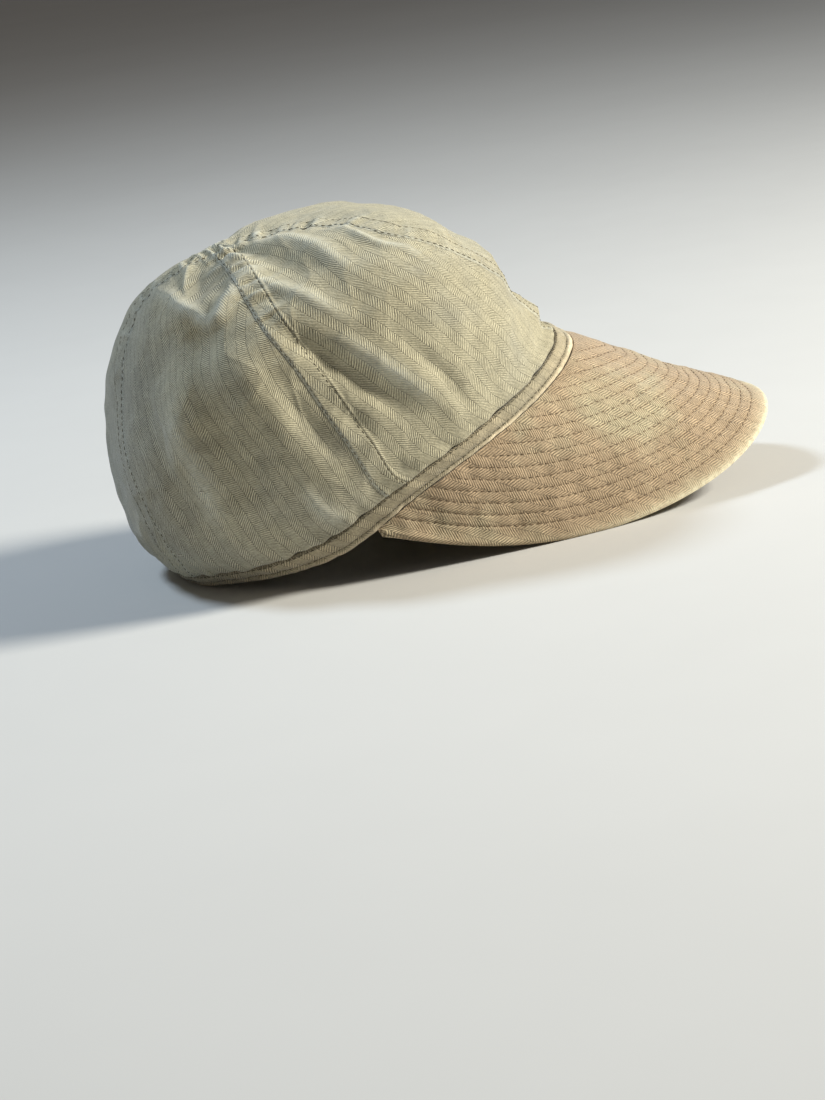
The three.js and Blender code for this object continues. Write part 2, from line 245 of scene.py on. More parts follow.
def crown_base(angle, up):
    """The crown's smooth outer surface."""
    c, s = np.cos(angle), np.sin(angle)
    up = np.clip(up, 0, 1)
    middle = (ring_value("back", up) - ring_value("front", up)) / 2
    ends = np.where(c > 0, ring_value("front_rise", up), ring_value("back_rise", up))
    lean = up**1.3 * (math.pi / 2)
    far = 0.5 - 0.5 * np.tanh(6 * s)
    puff = SLUMP["near_puff"] + (SLUMP["far_puff"] - SLUMP["near_puff"]) * far
    puff = puff * np.sin(2 * angle) ** 2 * np.sin(math.pi * up**0.85)
    rise = c * c * ends + s * s * ring_value("side_rise", up) - rim_dip(angle) * (1 - up) ** 3
    reach = ring_radius(angle, up) + puff * np.cos(lean)
    slump = SLUMP["top"] * np.sin((math.pi / 2) * up) ** 1.2
    return np.stack([-s * reach + slump, -c * reach + middle, rise + puff * np.sin(lean)], axis=-1)


def unit(vectors):
    return vectors / np.maximum(np.linalg.norm(vectors, axis=-1, keepdims=True), 1e-9)


NORMAL_STEP = 0.004


def crown_normal(angle, up):
    up = np.clip(up, NORMAL_STEP, 0.97)
    along = crown_base(angle + NORMAL_STEP, up) - crown_base(angle - NORMAL_STEP, up)
    across = crown_base(angle, up + NORMAL_STEP) - crown_base(angle, up - NORMAL_STEP)
    return -unit(np.cross(along, across))


def fold_depth(angle, up):
    """How far the main folds move the cloth out, fading beside the rim and the top."""
    depth = np.zeros(np.broadcast(angle, up).shape)
    for fold in FOLDS:
        centre = math.radians(fold["round"])
        radius = max(LEAST_RADIUS, float(ring_radius(centre, np.array(fold["up"]))))
        level = wrap(angle - centre) * radius
        upward = (up - fold["up"]) * MERIDIAN
        way = math.radians(fold["runs"])
        along = level * math.cos(way) + upward * math.sin(way)
        across = upward * math.cos(way) - level * math.sin(way)
        depth += fold["depth"] * np.exp(-((along / fold["along"]) ** 2) - (across / fold["across"]) ** 2)
    return depth * np.clip(up / FOLD_FADE["rim"], 0, 1) * np.clip((1 - up) / FOLD_FADE["top"], 0, 1)


def seam_angle(index, up):
    """Seams in order round the cap: front, wearer's right, back, wearer's left, front again."""
    radius = cloth_radius(up)
    if index in (0, 4):
        return index * (math.pi / 2) + ring_value("front_sway", up) / radius
    if index == 2:
        return math.pi - ring_value("back_sway", up) / radius
    side = math.radians(SIDE_SEAM) - ring_value("side_sway", up) / radius
    return side if index == 1 else 2 * math.pi - side


def band_top(angle):
    """Height on the cloth where the band ends, as a part of the way up to the top."""
    c, s = np.cos(angle), np.sin(angle)
    ends = np.where(c > 0, BAND["front"], BAND["back"])
    return (c * c * ends + s * s * BAND["side"]) / MERIDIAN


def tip(vectors):
    """Turns directions of the cap's own frame as the cap rests."""
    c, s = math.cos(REST_TIP), math.sin(REST_TIP)
    x, y, z = vectors[..., 0], vectors[..., 1], vectors[..., 2]
    return np.stack([x, y * c + z * s, z * c - y * s], axis=-1)


def rest(points):
    """Tips points back and sets them down, flattened where the cloth meets the surface."""
    placed = tip(points) + np.array([REST_SIDE, REST_FORWARD, REST_LIFT])
    placed[..., 2] = np.maximum(placed[..., 2], 0)
    return placed * MM


# Small shape of the cloth

def distances(points, line):
    """The distance from each point to the nearest point of a line, and that point's number."""
    flat = points.reshape(-1, 3)
    squares = (flat**2).sum(1)[:, None] + (line**2).sum(1)[None] - 2 * flat @ line.T
    nearest = squares.argmin(1)
    reach = np.sqrt(np.maximum(squares[np.arange(len(flat)), nearest], 0))
    return reach.reshape(points.shape[:-1]), nearest.reshape(points.shape[:-1])


def smooth_step(value, low, high):
    t = np.clip((value - low) / (high - low), 0, 1)
    return t * t * (3 - 2 * t)


def ripple(points, size, seed, waves=14):
    """Soft seeded noise about -1 to 1, made of plane waves about `size` millimetres long."""
    draw = np.random.default_rng(seed)
    total = np.zeros(points.shape[:-1])
    for _ in range(waves):
        way = draw.normal(size=3)
        way *= 2 * math.pi / (size * draw.uniform(0.7, 1.5)) / np.linalg.norm(way)
        total += np.sin(points @ way + draw.uniform(0, 2 * math.pi))
    return total / math.sqrt(waves / 2)


def ridges(points, size, seed):
    """Seeded noise with sharp crests, 0 to 1."""
    return np.clip(1 - np.abs(ripple(points, size, seed)) * 1.6, 0, 1) ** 2


def spline(knots, steps):
    """A smooth curve through a few knots."""
    knots = np.array(knots, float)
    knots = np.vstack([2 * knots[0] - knots[1], knots, 2 * knots[-1] - knots[-2]])
    place = np.linspace(0, len(knots) - 3, steps)
    row = np.minimum(place.astype(int), len(knots) - 4)
    return cubic(knots, row, (place - row)[:, None])


ROUTE_STEPS = 90


def crease_height(points):
    """The sharper creases and puckers."""
    total = np.zeros(points.shape[:-1])
    for crease in CREASES:
        route = spline(crease["route"], ROUTE_STEPS)
        line = crown_base(np.radians(route[:, 0]), route[:, 1])
        reach, nearest = distances(points, line)
        if reach.min() > 4 * crease["wide"]:
            continue
        taper = np.sin(math.pi * np.clip(nearest / (ROUTE_STEPS - 1), 0.02, 0.98)) ** 0.6
        total += crease["high"] * taper * np.exp(-((reach / crease["wide"]) ** 2))
    return total


SEAM_STEPS = 260
SEAM_UPS = np.linspace(0.05, 1.0, SEAM_STEPS)
SEAM_LINES = [crown_base(seam_angle(k, SEAM_UPS), SEAM_UPS) for k in range(4)]


def seam_fields(angle, up, points):
    """Signed distance across the front-to-back seam and across the side seams, and the place along.

    Positive is the side where the folded edge lies: the wearer's right, and the back."""
    turn = np.mod(angle, 2 * math.pi)
    right = (turn > seam_angle(0, up)) & (turn < seam_angle(2, up))
    front, front_at = distances(points, SEAM_LINES[0])
    back, back_at = distances(points, SEAM_LINES[2])
    across_middle = np.where(right, 1, -1) * np.minimum(front, back)
    along_middle = np.where(front < back, front_at, 2 * SEAM_STEPS - back_at)
    behind = (turn > seam_angle(1, up)) & (turn < seam_angle(3, up))
    near, near_at = distances(points, SEAM_LINES[1])
    far, far_at = distances(points, SEAM_LINES[3])
    across_side = np.where(behind, 1, -1) * np.minimum(near, far)
    along_side = np.where(near < far, near_at, 2 * SEAM_STEPS - far_at)
    to_mm = MERIDIAN / SEAM_STEPS
    return across_middle, along_middle * to_mm, across_side, along_side * to_mm


def felled(across):
    """Height of a felled seam: a folded edge on one side, a soft step on the other."""
    folded = 1 - smooth_step(across, SEAM_HALF - SEAM_SLOPE["folded"], SEAM_HALF)
    soft = smooth_step(across, -SEAM_HALF - SEAM_SLOPE["outside"], -SEAM_HALF + SEAM_SLOPE["inside"])
    return SEAM_RISE * folded * soft


def stitch_groove(across):
    line = SEAM_HALF - STITCH_INSET
    folded = bump(across, line, SEAM_GROOVE["half"])
    soft = bump(across, -line, SEAM_GROOVE["half"])
    return SEAM_GROOVE["deep"] * (folded + SEAM_GROOVE["soft_edge"] * soft)


def seam_pucker(across, along, seed, strong_end):
    """Small waves of cloth across a seam, stronger towards the top."""
    draw = np.random.default_rng(seed)
    wave = np.zeros(across.shape)
    for size, high in PUCKERS:
        wave += high * np.sin(2 * math.pi * along / (size * draw.uniform(0.9, 1.1)) + draw.uniform(0, 6))
    reach = np.exp(-((np.abs(across) / PUCKER_REACH) ** 1.5))
    return wave * reach * (PUCKER_STRENGTH["low"] + PUCKER_STRENGTH["top"] * strong_end)


def crown_relief(angle, up):
    """Everything finer than the main folds, and where the cloth is pale, from wear and a painted highlight,
    and darker, from painted shade and stains.
    """
    points = crown_base(angle, up)
    middle, along_middle, side, along_side = seam_fields(angle, up, points)
    on_middle = np.abs(middle) < SEAM_HALF
    seams = felled(middle) + felled(side) * np.where(on_middle, 0.5, 1)
    grooves = stitch_groove(middle) + stitch_groove(side) * np.where(on_middle, 0, 1)
    high_up = smooth_step(up, 0.45, 0.95)
    puckers = seam_pucker(middle, along_middle, 3, high_up) + seam_pucker(side, along_side, 4, high_up)
    creases = crease_height(points)
    hem = (up - band_top(angle)) * MERIDIAN
    upright = points * np.array([1, 1, GATHERS["stretch"]])
    gathers = GATHERS["high"] * ripple(upright, GATHERS["size"], GATHERS["seed"])
    gathers = gathers * np.exp(-np.maximum(hem, 0) / GATHERS["reach"])
    loose = smooth_step(hem, 0, 14) * smooth_step(1 - up, 0.0, 0.12)
    wrinkles = sum(high * ripple(points, size, seed) for high, size, seed in WRINKLES)
    wrinkles += RIDGES["high"] * ridges(points, RIDGES["size"], RIDGES["seed"])
    tuck = TUCK[0] * bump(hem, *TUCK[1:]) + SWELL[0] * bump(hem, *SWELL[1:])
    total = seams + grooves + puckers + creases + gathers + wrinkles * loose + tuck
    # Seam edges and crests are pale from wear, and also carry a painted highlight where the light catches
    # them
    edge = (bump(np.abs(middle - SEAM_HALF + WEAR_AND_HIGHLIGHT["inset"]), 0, WEAR_AND_HIGHLIGHT["half"])
            + bump(np.abs(side - SEAM_HALF + WEAR_AND_HIGHLIGHT["inset"]), 0, WEAR_AND_HIGHLIGHT["half"]))
    crests = np.maximum(puckers + WEAR_AND_HIGHLIGHT["crease"] * creases, 0)
    worn = np.clip(WEAR_AND_HIGHLIGHT["seam"] * edge + WEAR_AND_HIGHLIGHT["crest"] * crests, 0, 1)
    # Painted shade in the stitch grooves, where the crown goes into the band, and just outside each folded
    # edge
    shade = np.clip(SHADE["groove"] * grooves + SHADE["hem"] * bump(hem, 0, SHADE["hem_half"]), 0, 1)
    foot = SEAM_HALF + SHADE["edge_out"]
    shade += SHADE["edge"] * (bump(middle, foot, SHADE["edge_half"]) + bump(side, foot, SHADE["edge_half"]))
    # Brown spots and broad darker patches; the patch high beside the side seam at 126 degrees is painted
    # shade where the cloth faces away from the light
    for round_from_front, height, radius, strength in STAINS_AND_SHADE:
        centre = crown_base(np.radians(np.array([round_from_front])), np.array([height]))
        shade += strength * np.exp(-((np.linalg.norm(points - centre, axis=-1) / radius) ** 2))
    return total, worn, np.clip(shade, 0, 1)


# Mesh making

def grid_quads(columns, rows, first=0):
    """Quads of a grid of points that are numbered row by row within each column."""
    i, j = np.meshgrid(np.arange(columns - 1), np.arange(rows - 1), indexing="ij")
    corner = first + i * rows + j
    return np.stack([corner, corner + rows, corner + rows + 1, corner + 1], axis=-1).reshape(-1, 4).tolist()


def make_piece(name, points, faces, smooth, attributes, material):
    mesh = bpy.data.meshes.new(name)
    mesh.from_pydata(points.tolist(), [], faces)
    mesh.polygons.foreach_set("use_smooth", smooth)
    for key, values in attributes.items():
        kind = "FLOAT_VECTOR" if values.ndim == 2 else "FLOAT"
        layer = mesh.attributes.new(key, kind, "POINT")
        layer.data.foreach_set("vector" if values.ndim == 2 else "value", values.astype(np.float32).ravel())
    work = bmesh.new()
    work.from_mesh(mesh)
    bmesh.ops.recalc_face_normals(work, faces=work.faces)
    work.to_mesh(mesh)
    work.free()
    mesh.materials.append(material)
    piece = bpy.data.objects.new(name, mesh)
    bpy.context.scene.collection.objects.link(piece)
    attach(piece, "root")
    return piece


# Points of the fine outer face to each one of the inner face
STRIDE = 4


def cloth_wall(name, outer, inner, attributes, material):
    """A closed wall of cloth: a fine outer face, a coarser inner one, and narrow edges between.

    Attributes are given on the outer grid; the inner face takes those of the points above it."""
    columns, rows = outer.shape[:2]
    inner = inner[::STRIDE, ::STRIDE]
    inner_columns, inner_rows = inner.shape[:2]
    first = columns * rows
    points = np.vstack([outer.reshape(-1, 3), inner.reshape(-1, 3)])
    faces = grid_quads(columns, rows) + grid_quads(inner_columns, inner_rows, first)
    smooth = [True] * len(faces)
    fine = np.arange(first).reshape(columns, rows)
    coarse = first + np.arange(inner_columns * inner_rows).reshape(inner_columns, inner_rows)
    for top, low in ((fine[:, 0], coarse[:, 0]), (fine[:, -1], coarse[:, -1]),
                     (fine[0], coarse[0]), (fine[-1], coarse[-1])):
        for k in range(len(low) - 1):
            run = top[k * STRIDE:(k + 1) * STRIDE + 1].tolist()
            faces.append(run + [int(low[k + 1]), int(low[k])])
    smooth += [False] * (len(faces) - len(smooth))
    spread = {}
    for key, values in attributes.items():
        width = values.shape[2:]
        below = values[::STRIDE, ::STRIDE].reshape((-1,) + width)
        spread[key] = np.concatenate([values.reshape((-1,) + width), below])
    return make_piece(name, points, faces, smooth, spread, material)


# Procedural cloth

def new_material(name):
    material = bpy.data.materials.new(name)
    material.use_nodes = True
    nodes = material.node_tree.nodes
    nodes.clear()
    output = nodes.new("ShaderNodeOutputMaterial")
    shader = nodes.new("ShaderNodeBsdfPrincipled")
    material.node_tree.links.new(shader.outputs["BSDF"], output.inputs["Surface"])
    return material, shader


class Graph:
    """Short calls that add nodes and return their outputs."""

    def __init__(self, material):
        self.tree = material.node_tree

    def link(self, value, socket):
        if isinstance(value, bpy.types.NodeSocket):
            self.tree.links.new(value, socket)
        else:
            socket.default_value = value

    def math(self, operation, first, second=0.0, third=0.0):
        node = self.tree.nodes.new("ShaderNodeMath")
        node.operation = operation
        for value, socket in zip((first, second, third), node.inputs):
            self.link(value, socket)
        return node.outputs[0]

    def attribute(self, name, output):
        node = self.tree.nodes.new("ShaderNodeAttribute")
        node.attribute_name = name
        return node.outputs[output]

    def separate(self, vector):
        node = self.tree.nodes.new("ShaderNodeSeparateXYZ")
        self.link(vector, node.inputs[0])
        return node.outputs[0], node.outputs[1]

    def noise(self, scale, detail=3.0, roughness=0.55, vector=None, kind="Fac"):
        node = self.tree.nodes.new("ShaderNodeTexNoise")
        node.inputs["Scale"].default_value = scale
        node.inputs["Detail"].default_value = detail
        node.inputs["Roughness"].default_value = roughness
        if vector is None:
            vector = self.position()
        self.link(vector, node.inputs["Vector"])
        return node.outputs[kind]

    def position(self):
        return self.tree.nodes.new("ShaderNodeTexCoord").outputs["Object"]

    def span(self, value, low, high, to_low=0.0, to_high=1.0):
        node = self.tree.nodes.new("ShaderNodeMapRange")
        node.interpolation_type = "SMOOTHSTEP"
        for setting, socket in zip((value, low, high, to_low, to_high), node.inputs):
            self.link(setting, socket)
        return node.outputs[0]

    def mix(self, factor, first, second, blend="MIX"):
        node = self.tree.nodes.new("ShaderNodeMix")
        node.data_type = "RGBA"
        node.blend_type = blend
        for value, socket in ((factor, node.inputs[0]), (first, node.inputs[6]), (second, node.inputs[7])):
            self.link(value, socket)
        return node.outputs[2]

    def bump(self, height, distance, strength, below=None):
        node = self.tree.nodes.new("ShaderNodeBump")
        node.inputs["Distance"].default_value = distance
        node.inputs["Strength"].default_value = strength
        self.link(height, node.inputs["Height"])
        if below is not None:
            self.link(below, node.inputs["Normal"])
        return node.outputs[0]


def colour(red, green, blue):
    """A colour given as it shows on a screen, 0 to 255."""
    def linear(value):
        value /= 255
        return value / 12.92 if value <= 0.04045 else ((value + 0.055) / 1.055) ** 2.4
    return (linear(red), linear(green), linear(blue), 1.0)


# Noise in the cloth's colour and bump: scale, detail and roughness of each
NOISE = {"drift": (55.0, 3.0, 0.7), "rib": (240.0, 3.0, 0.65), "mottle": (160.0, 4.0, 0.65),
         "fibre": (1300.0, 2.0, 0.6), "fray": (420.0, 3.0, 0.6), "fine": (1300.0, 3.0, 0.6),
         "slub": (190.0, 3.0, 0.5)}
# How far the ribs wander, in millimetres, and how much fainter they are where they turn
RIB_DRIFT = 3.0
RIB_TURN = 0.6
# Depths of the bump in metres
BUMP = {"fine": 0.00010, "slub": 0.00035, "rib": 0.00016, "thread": 0.00006}


def herringbone(graph, weave):
    """Height of the twill's diagonal ribs, 0 to 1, and a value that changes from column to column."""
    across, along = graph.separate(graph.attribute("cloth", "Vector"))
    drift = graph.math("SUBTRACT", graph.noise(*NOISE["drift"]), 0.5)
    across = graph.math("ADD", across, graph.math("MULTIPLY", drift, RIB_DRIFT))
    column = graph.math("DIVIDE", across, weave["column"])
    number = graph.math("FLOOR", column)
    within = graph.math("SUBTRACT", column, number)
    parity = graph.math("MULTIPLY", graph.math("FRACT", graph.math("MULTIPLY", number, 0.5)), 2.0)
    way = graph.math("SUBTRACT", graph.math("MULTIPLY", parity, 2.0), 1.0)
    slant = graph.math("MULTIPLY", graph.math("MULTIPLY", within, weave["column"]), way)
    phase = graph.math("DIVIDE", graph.math("ADD", along, slant), weave["pitch"])
    wave = graph.math("SINE", graph.math("MULTIPLY", phase, 2 * math.pi))
    strong = graph.span(graph.noise(*NOISE["rib"]), 0.36, 0.62, 0.2, 0.5)
    rib = graph.math("MULTIPLY_ADD", wave, strong, 0.5)
    side = graph.math("ABSOLUTE", graph.math("SUBTRACT", within, 0.5))
    turn = graph.math("MULTIPLY", graph.span(side, 0.43, 0.5), RIB_TURN)
    rib = graph.math("MULTIPLY", rib, graph.math("SUBTRACT", 1.0, turn))
    return rib, parity


def cloth_material(name, main, second, dark, pale, weave, patch):
    """Faded herringbone cotton: ribs, patches, painted shade in the grooves, and crests pale from wear and,
    on the crown, a painted highlight.
    """
    material, shader = new_material(name)
    graph = Graph(material)
    rib, parity = herringbone(graph, weave)
    patch_scale, patch_low, patch_high = patch
    patches = graph.span(graph.noise(patch_scale, 4.0, 0.6), patch_low, patch_high)
    base = graph.mix(patches, main, second)
    mottle = graph.span(graph.noise(*NOISE["mottle"]), 0.3, 0.7, 0.90, 1.08)
    fibre = graph.span(graph.noise(*NOISE["fibre"]), 0.3, 0.7, 0.82, 1.18)
    ribbed = graph.math("MULTIPLY_ADD", rib, weave["contrast"], 0.97 - weave["contrast"] / 2)
    banded = graph.math("MULTIPLY_ADD", parity, 0.02, 0.99)
    cloudy = graph.math("MULTIPLY", mottle, fibre)
    tone = graph.math("MULTIPLY", cloudy, graph.math("MULTIPLY", ribbed, banded))
    tint = graph.tree.nodes.new("ShaderNodeCombineXYZ")
    for socket in tint.inputs:
        graph.link(tone, socket)
    base = graph.mix(1.0, base, tint.outputs[0], "MULTIPLY")
    fray = graph.span(graph.noise(*NOISE["fray"]), 0.3, 0.7, 0.55, 1.15)
    # Pale from wear, and on the crown also a painted highlight on crests and seam edges
    worn = graph.math("MULTIPLY", graph.attribute("worn", "Fac"), fray)
    base = graph.mix(graph.math("MINIMUM", worn, 1.0), base, pale)
    # Painted shade in the grooves and at the band, with the crown's stains, turns the colour towards the dark
    # one
    shade = graph.math("MULTIPLY", graph.attribute("shade", "Fac"), 0.75)
    base = graph.mix(shade, base, dark)
    graph.link(base, shader.inputs["Base Color"])
    graph.link(graph.span(graph.noise(240.0), 0.3, 0.7, 0.82, 0.96), shader.inputs["Roughness"])
    shader.inputs["Specular IOR Level"].default_value = 0.22
    shader.inputs["Sheen Weight"].default_value = 0.22
    shader.inputs["Sheen Roughness"].default_value = 0.55
    fine = graph.bump(graph.noise(*NOISE["fine"]), BUMP["fine"], 0.6)
    slub = graph.bump(graph.noise(*NOISE["slub"]), BUMP["slub"], 0.5, fine)
    graph.link(graph.bump(rib, BUMP["rib"], 0.7, slub), shader.inputs["Normal"])
    return material


def thread_material(name, main, second, dark):
    """Cotton thread in two close colours, with painted shade where a stitch dips into the cloth."""
    material, shader = new_material(name)
    graph = Graph(material)
    base = graph.mix(graph.span(graph.noise(90.0, 3.0), 0.35, 0.65), main, second)
    base = graph.mix(graph.attribute("dip", "Fac"), base, dark)
    graph.link(base, shader.inputs["Base Color"])
    graph.link(graph.span(graph.noise(900.0), 0.3, 0.7, 0.6, 0.8), shader.inputs["Roughness"])
    shader.inputs["Specular IOR Level"].default_value = 0.3
    graph.link(graph.bump(graph.noise(3000.0, 2.0), BUMP["thread"], 0.6), shader.inputs["Normal"])
    return material


# The crown's pale colour is bluish: it is wear and also a painted highlight on crests and seam edges
crown_cloth = cloth_material("crown_cloth", colour(178, 171, 144), colour(164, 160, 141),
                             colour(82, 78, 66), colour(218, 220, 206), CROWN_WEAVE, (9.0, 0.42, 0.62))
band_cloth = cloth_material("band_cloth", colour(176, 164, 136), colour(160, 152, 128),
                            colour(78, 70, 54), colour(240, 222, 188), CROWN_WEAVE, (14.0, 0.4, 0.6))
visor_cloth = cloth_material("visor_cloth", colour(172, 150, 121), colour(180, 169, 139),
                             colour(104, 86, 64), colour(232, 223, 190), VISOR_WEAVE, (16.0, 0.42, 0.66))
crown_thread = thread_material("crown_thread", colour(106, 98, 76), colour(86, 80, 62),
                               colour(56, 52, 40))
lint_fibre = thread_material("lint", colour(240, 236, 222), colour(226, 220, 204),
                             colour(200, 194, 178))
visor_thread = thread_material("visor_thread", colour(122, 100, 76), colour(102, 84, 62),
                               colour(56, 44, 32))


# The crown's four panels

# The side of each seam where its folded edge lies, and the most that it turns the border
EDGE_SIDE = (1, 1, -1, -1, 1)
EDGE_TURN = 0.35
# How far up the panels go, half the gap between them, and the hem's height
PANEL_TOP = 0.997
PANEL_CLEAR = 0.03
HEM = 3.0
HEM_ROWS = 11
PANEL_ROWS = 175
# The closer columns beside each seam, their width and the largest share that they take
DENSE_COLUMNS = 36
DENSE_WIDTH = 12.0
DENSE_SHARE = 0.3
MIDDLE_COLUMNS = 96


def panel_edge(index, up):
    """The angle where two panels meet, at the foot of the seam's folded edge."""
    shift = np.minimum(SEAM_HALF / ring_radius(seam_angle(index, up), up), EDGE_TURN)
    return seam_angle(index, up) + EDGE_SIDE[index] * shift


def panel_grid(first):
    """Angles and heights of a panel's points, closest together beside its seams."""
    hem = HEM / MERIDIAN
    bottom = (BAND["side"] + GAP) / MERIDIAN
    rows = np.concatenate([np.linspace(bottom, bottom + hem, HEM_ROWS)[:-1],
                           np.linspace(bottom + hem, PANEL_TOP, PANEL_ROWS)])
    from_angle, to_angle = panel_edge(first, rows), panel_edge(first + 1, rows)
    radius = ring_radius((from_angle + to_angle) / 2, rows)
    clear = PANEL_CLEAR / radius
    from_angle, to_angle = from_angle + clear, to_angle - clear
    dense = np.minimum(DENSE_WIDTH / ((to_angle - from_angle) * radius), DENSE_SHARE)
    start = np.linspace(0, 1, DENSE_COLUMNS + 1)[:-1, None] * dense
    middle = dense + np.linspace(0, 1, MIDDLE_COLUMNS + 1)[:, None] * (1 - 2 * dense)
    end = 1 - np.linspace(1, 0, DENSE_COLUMNS + 1)[1:, None] * dense
    share = np.vstack([start, middle, end])
    angle = from_angle + share * (to_angle - from_angle)
    low = band_top(angle) + GAP / MERIDIAN
    return angle, low + (rows - rows[0]) * (PANEL_TOP - low) / (PANEL_TOP - rows[0])


def cloth_lengths(points):
    """Millimetres of cloth across from the middle column, and up along it."""
    middle = points.shape[0] // 2
    across = np.zeros(points.shape[:2])
    across[1:] = np.cumsum(np.linalg.norm(np.diff(points, axis=0), axis=-1), axis=0)
    across -= across[middle]
    along = np.zeros(points.shape[:2])
    along[:, 1:] = np.cumsum(np.linalg.norm(np.diff(points[middle], axis=0), axis=-1))
    return across, along


def crown_panel(name, first):
    angle, up = panel_grid(first)
    relief, worn, shade = crown_relief(angle, up)
    base = crown_base(angle, up)
    normal = crown_normal(angle, up)
    coarse = fold_depth(angle, up)
    outer = base + normal * (coarse + relief)[..., None]
    soft = np.clip(relief, -0.6, 0.4)
    inner = base + normal * (coarse + soft - CLOTH)[..., None]
    across, along = cloth_lengths(base)
    attributes = {"cloth": np.stack([across, along, 0 * along], axis=-1), "worn": worn, "shade": shade}
    piece = cloth_wall(name + "_cloth", rest(outer), rest(inner), attributes, crown_cloth)
    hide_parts(name)
    return piece


PANELS = ("crown_front_right", "crown_back_right", "crown_back_left", "crown_front_left")
panels = [crown_panel(name, k) for k, name in enumerate(PANELS)]


# The stitched band

# The band's section, from its top down the outside, round the folded edge and up the inside:
# height on the cloth, distance out from the crown's surface, worn and shade
SECTION = np.array([
    (10.0, -0.7, 0.0, 0.6), (9.75, 0.15, 0.0, 0.4), (9.3, 0.55, 0.0, 0.1), (8.6, 0.78, 0.0, 0.0),
    (7.5, 0.85, 0.0, 0.0), (6.4, 0.85, 0.0, 0.0), (5.3, 0.8, 0.0, 0.0), (4.6, 0.7, 0.0, 0.1),
    (4.1, 0.48, 0.0, 0.35), (3.75, 0.28, 0.0, 0.5), (3.45, 0.28, 0.0, 0.5), (3.1, 0.55, 0.1, 0.25),
    (2.7, 0.9, 0.5, 0.0), (2.2, 1.12, 0.9, 0.0), (1.6, 1.2, 1.0, 0.0), (1.0, 1.12, 1.0, 0.0),
    (0.45, 0.85, 0.8, 0.0), (0.05, 0.4, 0.5, 0.1), (-0.12, -0.15, 0.4, 0.1), (-0.05, -0.75, 0.4, 0.1),
    (0.25, -1.2, 0.3, 0.0), (0.9, -1.5, 0.1, 0.0), (2.2, -1.6, 0.0, 0.0), (4.5, -1.6, 0.0, 0.0),
    (7.0, -1.6, 0.0, 0.0), (9.4, -1.55, 0.0, 0.0), (10.0, -1.35, 0.0, 0.2),
])
BAND_COLUMNS = 600
# Height of the rolled edge, and of the whole section before it is stretched to the band's height
ROLL_TOP = 4.2
SECTION_TALL = 10.0
# Unevenness of the band and of its rolled edge: height, size and seed of each wave
BAND_WAVES = ((0.16, 9, 21), (0.14, 22, 22))
ROLL_WAVE = (0.10, 4.2, 23)
# Wear of the rolled edge, which fades between two places in degrees round from the front
BAND_WEAR = {"mean": 0.72, "varies": 0.28, "size": 30, "seed": 24, "front": 70, "behind": 125,
             "fade": 0.75}


def band_points():
    turn = np.arange(BAND_COLUMNS) / BAND_COLUMNS * 2 * math.pi
    angle = np.repeat(turn[:, None], len(SECTION), axis=1)
    tall = SECTION[:, 0] * np.where(SECTION[:, 0] > ROLL_TOP, band_top(angle) * MERIDIAN / SECTION_TALL, 1)
    out = np.broadcast_to(SECTION[:, 1], angle.shape).copy()
    up = np.maximum(tall, 0) / MERIDIAN
    base = crown_base(angle, up)
    outside = smooth_step(out, -0.4, 0.4)
    wave = sum(high * ripple(base, size, seed) for high, size, seed in BAND_WAVES)
    roll = ROLL_WAVE[0] * ripple(base, *ROLL_WAVE[1:]) * smooth_step(ROLL_TOP - tall, 0, 1.2)
    out += (wave + roll) * outside
    points = base + crown_normal(angle, up) * (fold_depth(angle, up) + out)[..., None]
    points[..., 2] += np.minimum(tall, 0)
    return points, base, tall


def rim_band():
    points, base, tall = band_points()
    corners = len(SECTION)
    i, k = np.meshgrid(np.arange(BAND_COLUMNS), np.arange(corners), indexing="ij")
    following = (i + 1) % BAND_COLUMNS
    beside = (k + 1) % corners
    faces = np.stack([i * corners + k, following * corners + k, following * corners + beside,
                      i * corners + beside], axis=-1).reshape(-1, 4).tolist()
    step = np.linalg.norm(np.diff(base[:, :1], axis=0), axis=-1)
    round_the_rim = np.concatenate([[[0.0]], np.cumsum(step, axis=0)])
    shape = (BAND_COLUMNS, corners)
    lengths = np.stack([np.broadcast_to(round_the_rim, shape), tall, np.zeros(shape)], axis=-1)
    turn = np.arange(BAND_COLUMNS) / BAND_COLUMNS * 2 * math.pi
    degrees = np.degrees(np.abs(wrap(turn)))
    behind = smooth_step(degrees, BAND_WEAR["front"], BAND_WEAR["behind"])[:, None]
    uneven = BAND_WEAR["varies"] * ripple(base, BAND_WEAR["size"], BAND_WEAR["seed"])
    fade = (BAND_WEAR["mean"] + uneven) * (1 - BAND_WEAR["fade"] * behind)
    worn = np.broadcast_to(SECTION[:, 2], shape) * np.clip(fade, 0, 1)
    attributes = {"cloth": lengths.reshape(-1, 3), "worn": worn.ravel(),
                  "shade": np.broadcast_to(SECTION[:, 3], shape).ravel()}
    piece = make_piece("rim_band_cloth", rest(points).reshape(-1, 3), faces, [True] * len(faces),
                       attributes, band_cloth)
    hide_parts("rim_band")
    return piece


band = rim_band()


# The visor

def visor_base(side, out):
    """The visor's middle surface: side runs -1 to 1 between its corners, out 0 at the rim to 1."""
    seam = crown_base(math.radians(VISOR["corner"]) * side, np.zeros(np.shape(side)))
    quarter = np.abs(side) * (math.pi / 2)
    fall = VISOR["fall"] * (1 - np.abs(side) ** VISOR["fall_power"])
    lift = VISOR["tip_lift"] * np.exp(-((side / VISOR["tip_width"]) ** 2))
    edge = np.stack([-np.sign(side) * VISOR["half"] * np.sin(quarter) ** VISOR["round"],
                     VISOR["back"] - VISOR["long"] * np.cos(quarter),
                     VISOR["corner_rise"] - fall + lift], axis=-1)
    return seam + (edge - seam) * out[..., None]


